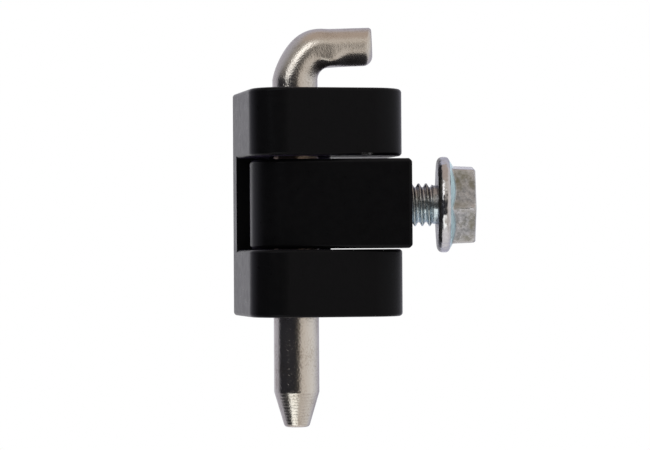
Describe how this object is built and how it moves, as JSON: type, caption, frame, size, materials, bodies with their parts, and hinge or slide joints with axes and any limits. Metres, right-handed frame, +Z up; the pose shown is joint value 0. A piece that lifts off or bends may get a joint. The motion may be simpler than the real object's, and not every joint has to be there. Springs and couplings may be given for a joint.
{
  "type": "corner hinge",
  "caption": "Black die-cast cabinet corner hinge: a two-knuckle door leaf, a single-knuckle frame leaf with a flange bolt, and a bent lift-out pin.",
  "frame": {"origin": "on the door leaf's mounting face, straight behind the hinge axis, at mid height of the leaf", "axes": "+Y out of the mounting face towards the door, +Z up along the pin, +X along the mounting face towards the frame side"},
  "size_m": [0.0321, 0.0201, 0.0548],
  "materials": {
    "black_coat": "satin black powder coat on a zinc casting",
    "pin_steel": "bright drawn steel, faintly warm",
    "zinc_plate": "bright bluish zinc plating"
  },
  "bodies": {
    "door_leaf": {"door_leaf": "black_coat"},
    "frame_leaf": {"frame_leaf": "black_coat"},
    "hinge_pin": {"hinge_pin": "pin_steel"},
    "flange_bolt": {"flange_bolt": "zinc_plate"}
  },
  "joints": [
    {"name": "leaf_swing", "type": "hinge", "parent": "door_leaf", "child": "frame_leaf", "pos_m": [0, -0.0094, 0], "axis": [0, 0, 1], "range_deg": [-168, 12]},
    {"name": "pin_lift", "type": "slide", "parent": "door_leaf", "child": "hinge_pin", "axis": [0, 0, 1], "range_m": [-0.0015, 0.047]},
    {"name": "bolt_travel", "type": "slide", "parent": "frame_leaf", "child": "flange_bolt", "axis": [0.9781, -0.2079, 0], "range_m": [-0.0034, 0.0069]}
  ]
}
